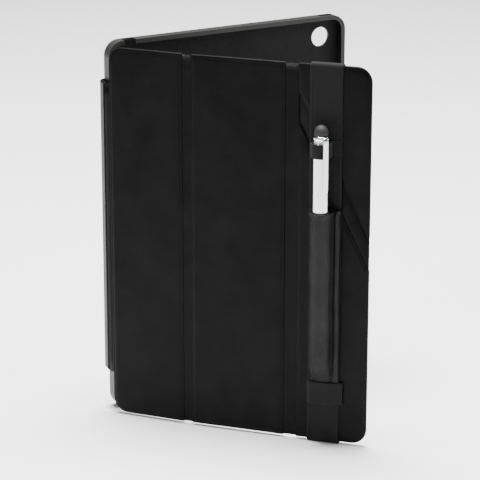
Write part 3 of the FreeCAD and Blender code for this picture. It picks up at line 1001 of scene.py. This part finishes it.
def stitch_tree():
    """Geometry Nodes: short thread capsules laid end to end along a line of edges."""
    tree = bpy.data.node_groups.new("stitch_row", "GeometryNodeTree")
    face = tree.interface
    face.new_socket("Geometry", in_out="INPUT", socket_type="NodeSocketGeometry")
    sizes = {"Stitch Pitch": STITCH_PITCH, "Stitch Length": STITCH_LENGTH, "Thread Radius": THREAD_RADIUS}
    for name, value in sizes.items():
        socket = face.new_socket(name, in_out="INPUT", socket_type="NodeSocketFloat")
        socket.default_value = value
    face.new_socket("Thread", in_out="INPUT", socket_type="NodeSocketMaterial")
    face.new_socket("Geometry", in_out="OUTPUT", socket_type="NodeSocketGeometry")
    add = tree.nodes.new
    link = tree.links.new
    source = add("NodeGroupInput")
    result = add("NodeGroupOutput")
    line = add("GeometryNodeMeshToCurve")
    link(source.outputs["Geometry"], line.inputs["Mesh"])
    spaced = add("GeometryNodeResampleCurve")
    spaced.mode = "LENGTH"
    link(line.outputs["Curve"], spaced.inputs["Curve"])
    link(source.outputs["Stitch Pitch"], spaced.inputs["Length"])
    capsule = add("GeometryNodeMeshUVSphere")
    capsule.inputs["Segments"].default_value = 8
    capsule.inputs["Rings"].default_value = 5
    capsule.inputs["Radius"].default_value = 1.0
    tangent = add("GeometryNodeInputTangent")
    turn = add("FunctionNodeAlignEulerToVector")
    turn.axis = "X"
    link(tangent.outputs["Tangent"], turn.inputs["Vector"])
    half = add("ShaderNodeMath")
    half.operation = "MULTIPLY"
    half.inputs[1].default_value = 0.5
    link(source.outputs["Stitch Length"], half.inputs[0])
    size = add("ShaderNodeCombineXYZ")
    link(half.outputs["Value"], size.inputs["X"])
    link(source.outputs["Thread Radius"], size.inputs["Y"])
    link(source.outputs["Thread Radius"], size.inputs["Z"])
    lay = add("GeometryNodeInstanceOnPoints")
    link(spaced.outputs["Curve"], lay.inputs["Points"])
    link(capsule.outputs["Mesh"], lay.inputs["Instance"])
    link(turn.outputs["Rotation"], lay.inputs["Rotation"])
    link(size.outputs["Vector"], lay.inputs["Scale"])
    real = add("GeometryNodeRealizeInstances")
    link(lay.outputs["Instances"], real.inputs["Geometry"])
    finish = add("GeometryNodeSetMaterial")
    link(real.outputs["Geometry"], finish.inputs["Geometry"])
    link(source.outputs["Thread"], finish.inputs["Material"])
    link(finish.outputs["Geometry"], result.inputs["Geometry"])
    return tree


STITCHES = stitch_tree()


def stitch_rows(name, rows, body, slot, pitch=STITCH_PITCH, length=STITCH_LENGTH, radius=THREAD_RADIUS):
    """Rows of stitches; each row is a list of points."""
    points = []
    edges = []
    for row in rows:
        start = len(points)
        points += [tuple(point) for point in row]
        edges += [(start + i, start + i + 1) for i in range(len(row) - 1)]
    mesh = bpy.data.meshes.new(name)
    mesh.from_pydata(points, edges, [])
    piece = bpy.data.objects.new(name, mesh)
    bpy.context.scene.collection.objects.link(piece)
    modifier = piece.modifiers.new("stitches", "NODES")
    modifier.node_group = STITCHES
    values = {"Stitch Pitch": pitch, "Stitch Length": length, "Thread Radius": radius, "Thread": thread}
    for item in STITCHES.interface.items_tree:
        if item.in_out == "INPUT" and item.name in values:
            modifier[item.identifier] = values[item.name]
    bpy.context.view_layer.update()
    evaluated = piece.evaluated_get(bpy.context.evaluated_depsgraph_get())
    made = bpy.data.meshes.new_from_object(evaluated)
    made.shade_smooth()
    piece.modifiers.clear()
    piece.data = made
    finish_piece(piece, body, slot)


def pouch_seam():
    """A row along the ridge of the pouch's sewn edge, above its flat end."""
    s = pen_place.x + TUBE + 2.1 * MM
    h = band_face + 3.42 * MM
    low = pouch_low.z + 34 * MM
    high = pouch_high.z - 3 * MM
    steps = 20
    return [panel_3.at(s, h, low + (high - low) * k / steps) for k in range(steps + 1)]


def upright_seam(s, h, low, high, margin):
    return [panel_3.at(s, h, low[2] + margin), panel_3.at(s, h, high[2] - margin)]


def strap_rows():
    """Seams that hold the pouch's edge, the loop's feet, the keeper's ends and the strap's own join."""
    rows = [pouch_seam()]
    foot = band_face + LOOP_THICK * 0.95
    for s in (band_low.x + 2.0 * MM, band_high.x - 2.0 * MM):
        rows.append(upright_seam(s, foot, loop_low, loop_high, 0.8 * MM))
    foot = band_face + KEEPER_THICK * 0.95
    for s in (band_low.x + 0.9 * MM, band_high.x + 0.4 * MM):
        rows.append(upright_seam(s, foot, keeper_low, keeper_high, 1 * MM))
    behind = band_low.y
    left = band_low.x + 1.5 * MM
    right = band_high.x - 1.5 * MM
    join_heights = (118 * MM, 121 * MM, 130 * MM, 133 * MM)
    for z in join_heights:
        rows.append([panel_3.at(left, behind, z), panel_3.at(right, behind, z)])
    return rows


stitch_rows("strap_stitches", strap_rows(), "strap", "elastic_web")


def tail_rows():
    """One seam round the tail's three free sides."""
    low, high = tail.span("spine_tail")
    out = low.y - 0.02 * MM
    edge = 2.0 * MM
    loop = [(low.x + edge, low.z + edge), (high.x - edge, low.z + edge), (high.x - edge, high.z - edge),
            (low.x + edge, high.z - edge)]
    return [[tail.at(s, out, z) for s, z in loop]]


stitch_rows("tail_stitches", tail_rows(), "tray", "cover_leather", pitch=2.8 * MM, length=2.1 * MM,
            radius=0.2 * MM)


# ------------------------------------------------------------ stage, light and camera

def stage():
    mesh = bpy.data.meshes.new("studio_floor")
    reach = 6.0
    corners = [(-reach, -reach, 0), (reach, -reach, 0), (reach, reach, 0), (-reach, reach, 0)]
    mesh.from_pydata(corners, [], [(0, 1, 2, 3)])
    mesh.materials.append(floor_finish())
    floor = bpy.data.objects.new("studio_floor", mesh)
    floor.location.z = min(0.0, cad_low[2]) - 0.05 * MM
    bpy.context.scene.collection.objects.link(floor)


def soft_light(name, place, target, size, power):
    data = bpy.data.lights.new(name, "AREA")
    data.shape = "DISK"
    data.size = size
    data.energy = power
    light = bpy.data.objects.new(name, data)
    light.location = place
    light.rotation_mode = "QUATERNION"
    light.rotation_quaternion = (Vector(target) - Vector(place)).to_track_quat("-Z", "Y")
    bpy.context.scene.collection.objects.link(light)


def studio():
    stage()
    middle = (0, 0, 0.12)
    soft_light("top_light", (0.0, 0.12, 1.7), middle, size=0.9, power=140)
    soft_light("side_light", (-1.5, -0.5, 1.0), middle, size=0.5, power=5)
    soft_light("right_light", (1.2, -0.7, 0.8), middle, size=0.4, power=9)
    world = bpy.data.worlds.new("studio_world")
    world.use_nodes = True
    background = world.node_tree.nodes["Background"]
    background.inputs["Color"].default_value = (1, 1, 1, 1)
    background.inputs["Strength"].default_value = 0.2
    bpy.context.scene.world = world


def camera():
    data = bpy.data.cameras.new("camera")
    data.lens = 170.16
    data.sensor_width = 36.0
    view = bpy.data.objects.new("camera", data)
    yaw, pitch, roll = (math.radians(angle) for angle in (29.719, 17.526, 0.037))
    heading = Matrix.Rotation(-yaw, 4, "Z")
    tilt = Matrix.Rotation(math.pi / 2 - pitch, 4, "X")
    level = Matrix.Rotation(roll, 4, "Z")
    place = Matrix.Translation(Vector((-699.86, -1243.09, 551.09)) * MM)
    view.matrix_world = place @ (heading @ tilt @ level)
    bpy.context.scene.collection.objects.link(view)
    bpy.context.scene.camera = view


studio()
camera()
